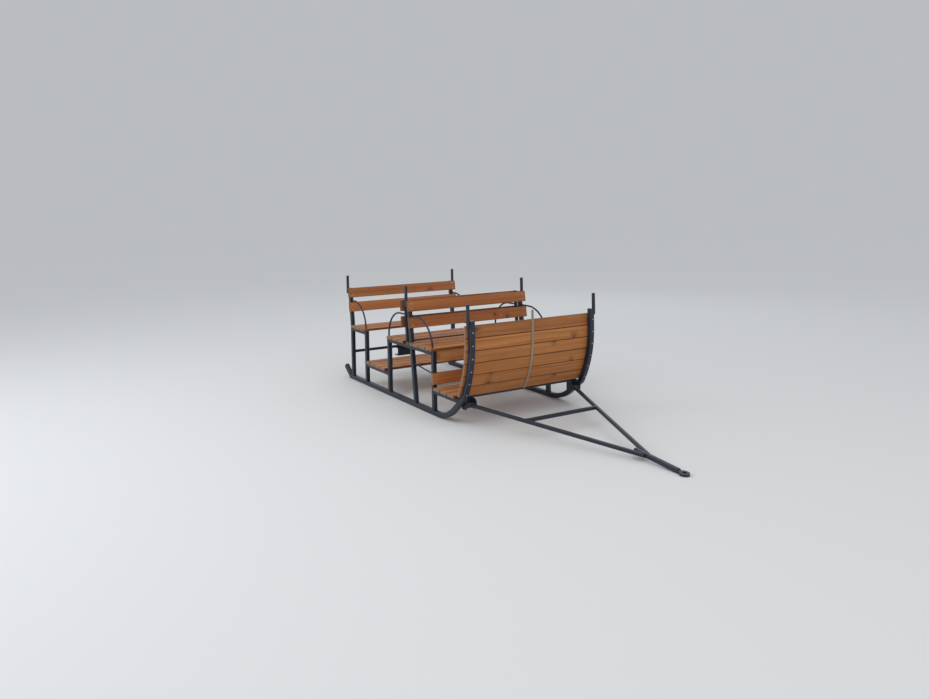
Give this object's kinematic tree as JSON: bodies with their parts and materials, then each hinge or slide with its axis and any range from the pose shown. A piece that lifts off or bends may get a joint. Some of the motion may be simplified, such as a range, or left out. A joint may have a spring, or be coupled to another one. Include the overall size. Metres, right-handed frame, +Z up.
{
  "type": "passenger sleigh",
  "caption": "Long tow-behind passenger sleigh: steel tube runners and frame, wooden bench seats, decks and curved dash, hinged A-frame drawbar with a coupling eye.",
  "frame": {"origin": "on the floor, at the middle of the bounding box in plan, drawbar included", "axes": "+X forward to the drawbar, +Y to the left, +Z up"},
  "size_m": [3.7228, 1.264, 1.038],
  "materials": {
    "painted_steel": "semi-gloss dark blue-grey paint",
    "stained_boards": "planed softwood with brown stain",
    "bare_steel": "plain steel"
  },
  "bodies": {
    "sleigh": {"runner_right": "painted_steel", "runner_left": "painted_steel", "rear_back_posts": "painted_steel", "rear_seat_front_legs": "painted_steel", "middle_seat_rear_legs": "painted_steel", "middle_seat_front_legs": "painted_steel", "middle_seat_centre_legs": "painted_steel", "forward_back_posts": "painted_steel", "rearward_back_posts": "painted_steel", "rear_seat_rails": "painted_steel", "middle_seat_rails": "painted_steel", "rear_deck_rails": "painted_steel", "front_deck_rails": "painted_steel", "front_cross_tube": "painted_steel", "leg_stays": "painted_steel", "rear_uprights": "painted_steel", "middle_uprights": "painted_steel", "dash_uprights": "painted_steel", "rear_armrests": "painted_steel", "forward_armrests": "painted_steel", "rearward_armrests": "painted_steel", "rear_cross_bar": "painted_steel", "rear_towing_jaw": "painted_steel", "drawbar_hinge_brackets": "painted_steel", "dash_centre_strip": "painted_steel", "rear_seat_boards": "stained_boards", "rearward_seat_boards": "stained_boards", "forward_seat_boards": "stained_boards", "rear_deck_boards": "stained_boards", "front_deck_boards": "stained_boards", "kick_board": "stained_boards", "seat_apron": "stained_boards", "rear_backrest_boards": "stained_boards", "forward_backrest_boards": "stained_boards", "rearward_backrest_boards": "stained_boards", "dash_boards": "stained_boards", "drawbar_hinge_pins": "bare_steel"},
    "drawbar": {"drawbar_bushes": "painted_steel", "drawbar_tongue": "painted_steel", "drawbar_tube_right": "painted_steel", "drawbar_tube_left": "painted_steel", "drawbar_cross_brace": "painted_steel", "coupling_eye": "painted_steel"}
  },
  "joints": [
    {"name": "drawbar_lift", "type": "hinge", "parent": "sleigh", "child": "drawbar", "pos_m": [0.28637, 0, 0.165], "axis": [0, -1, 0], "range_deg": [0, 70]}
  ]
}
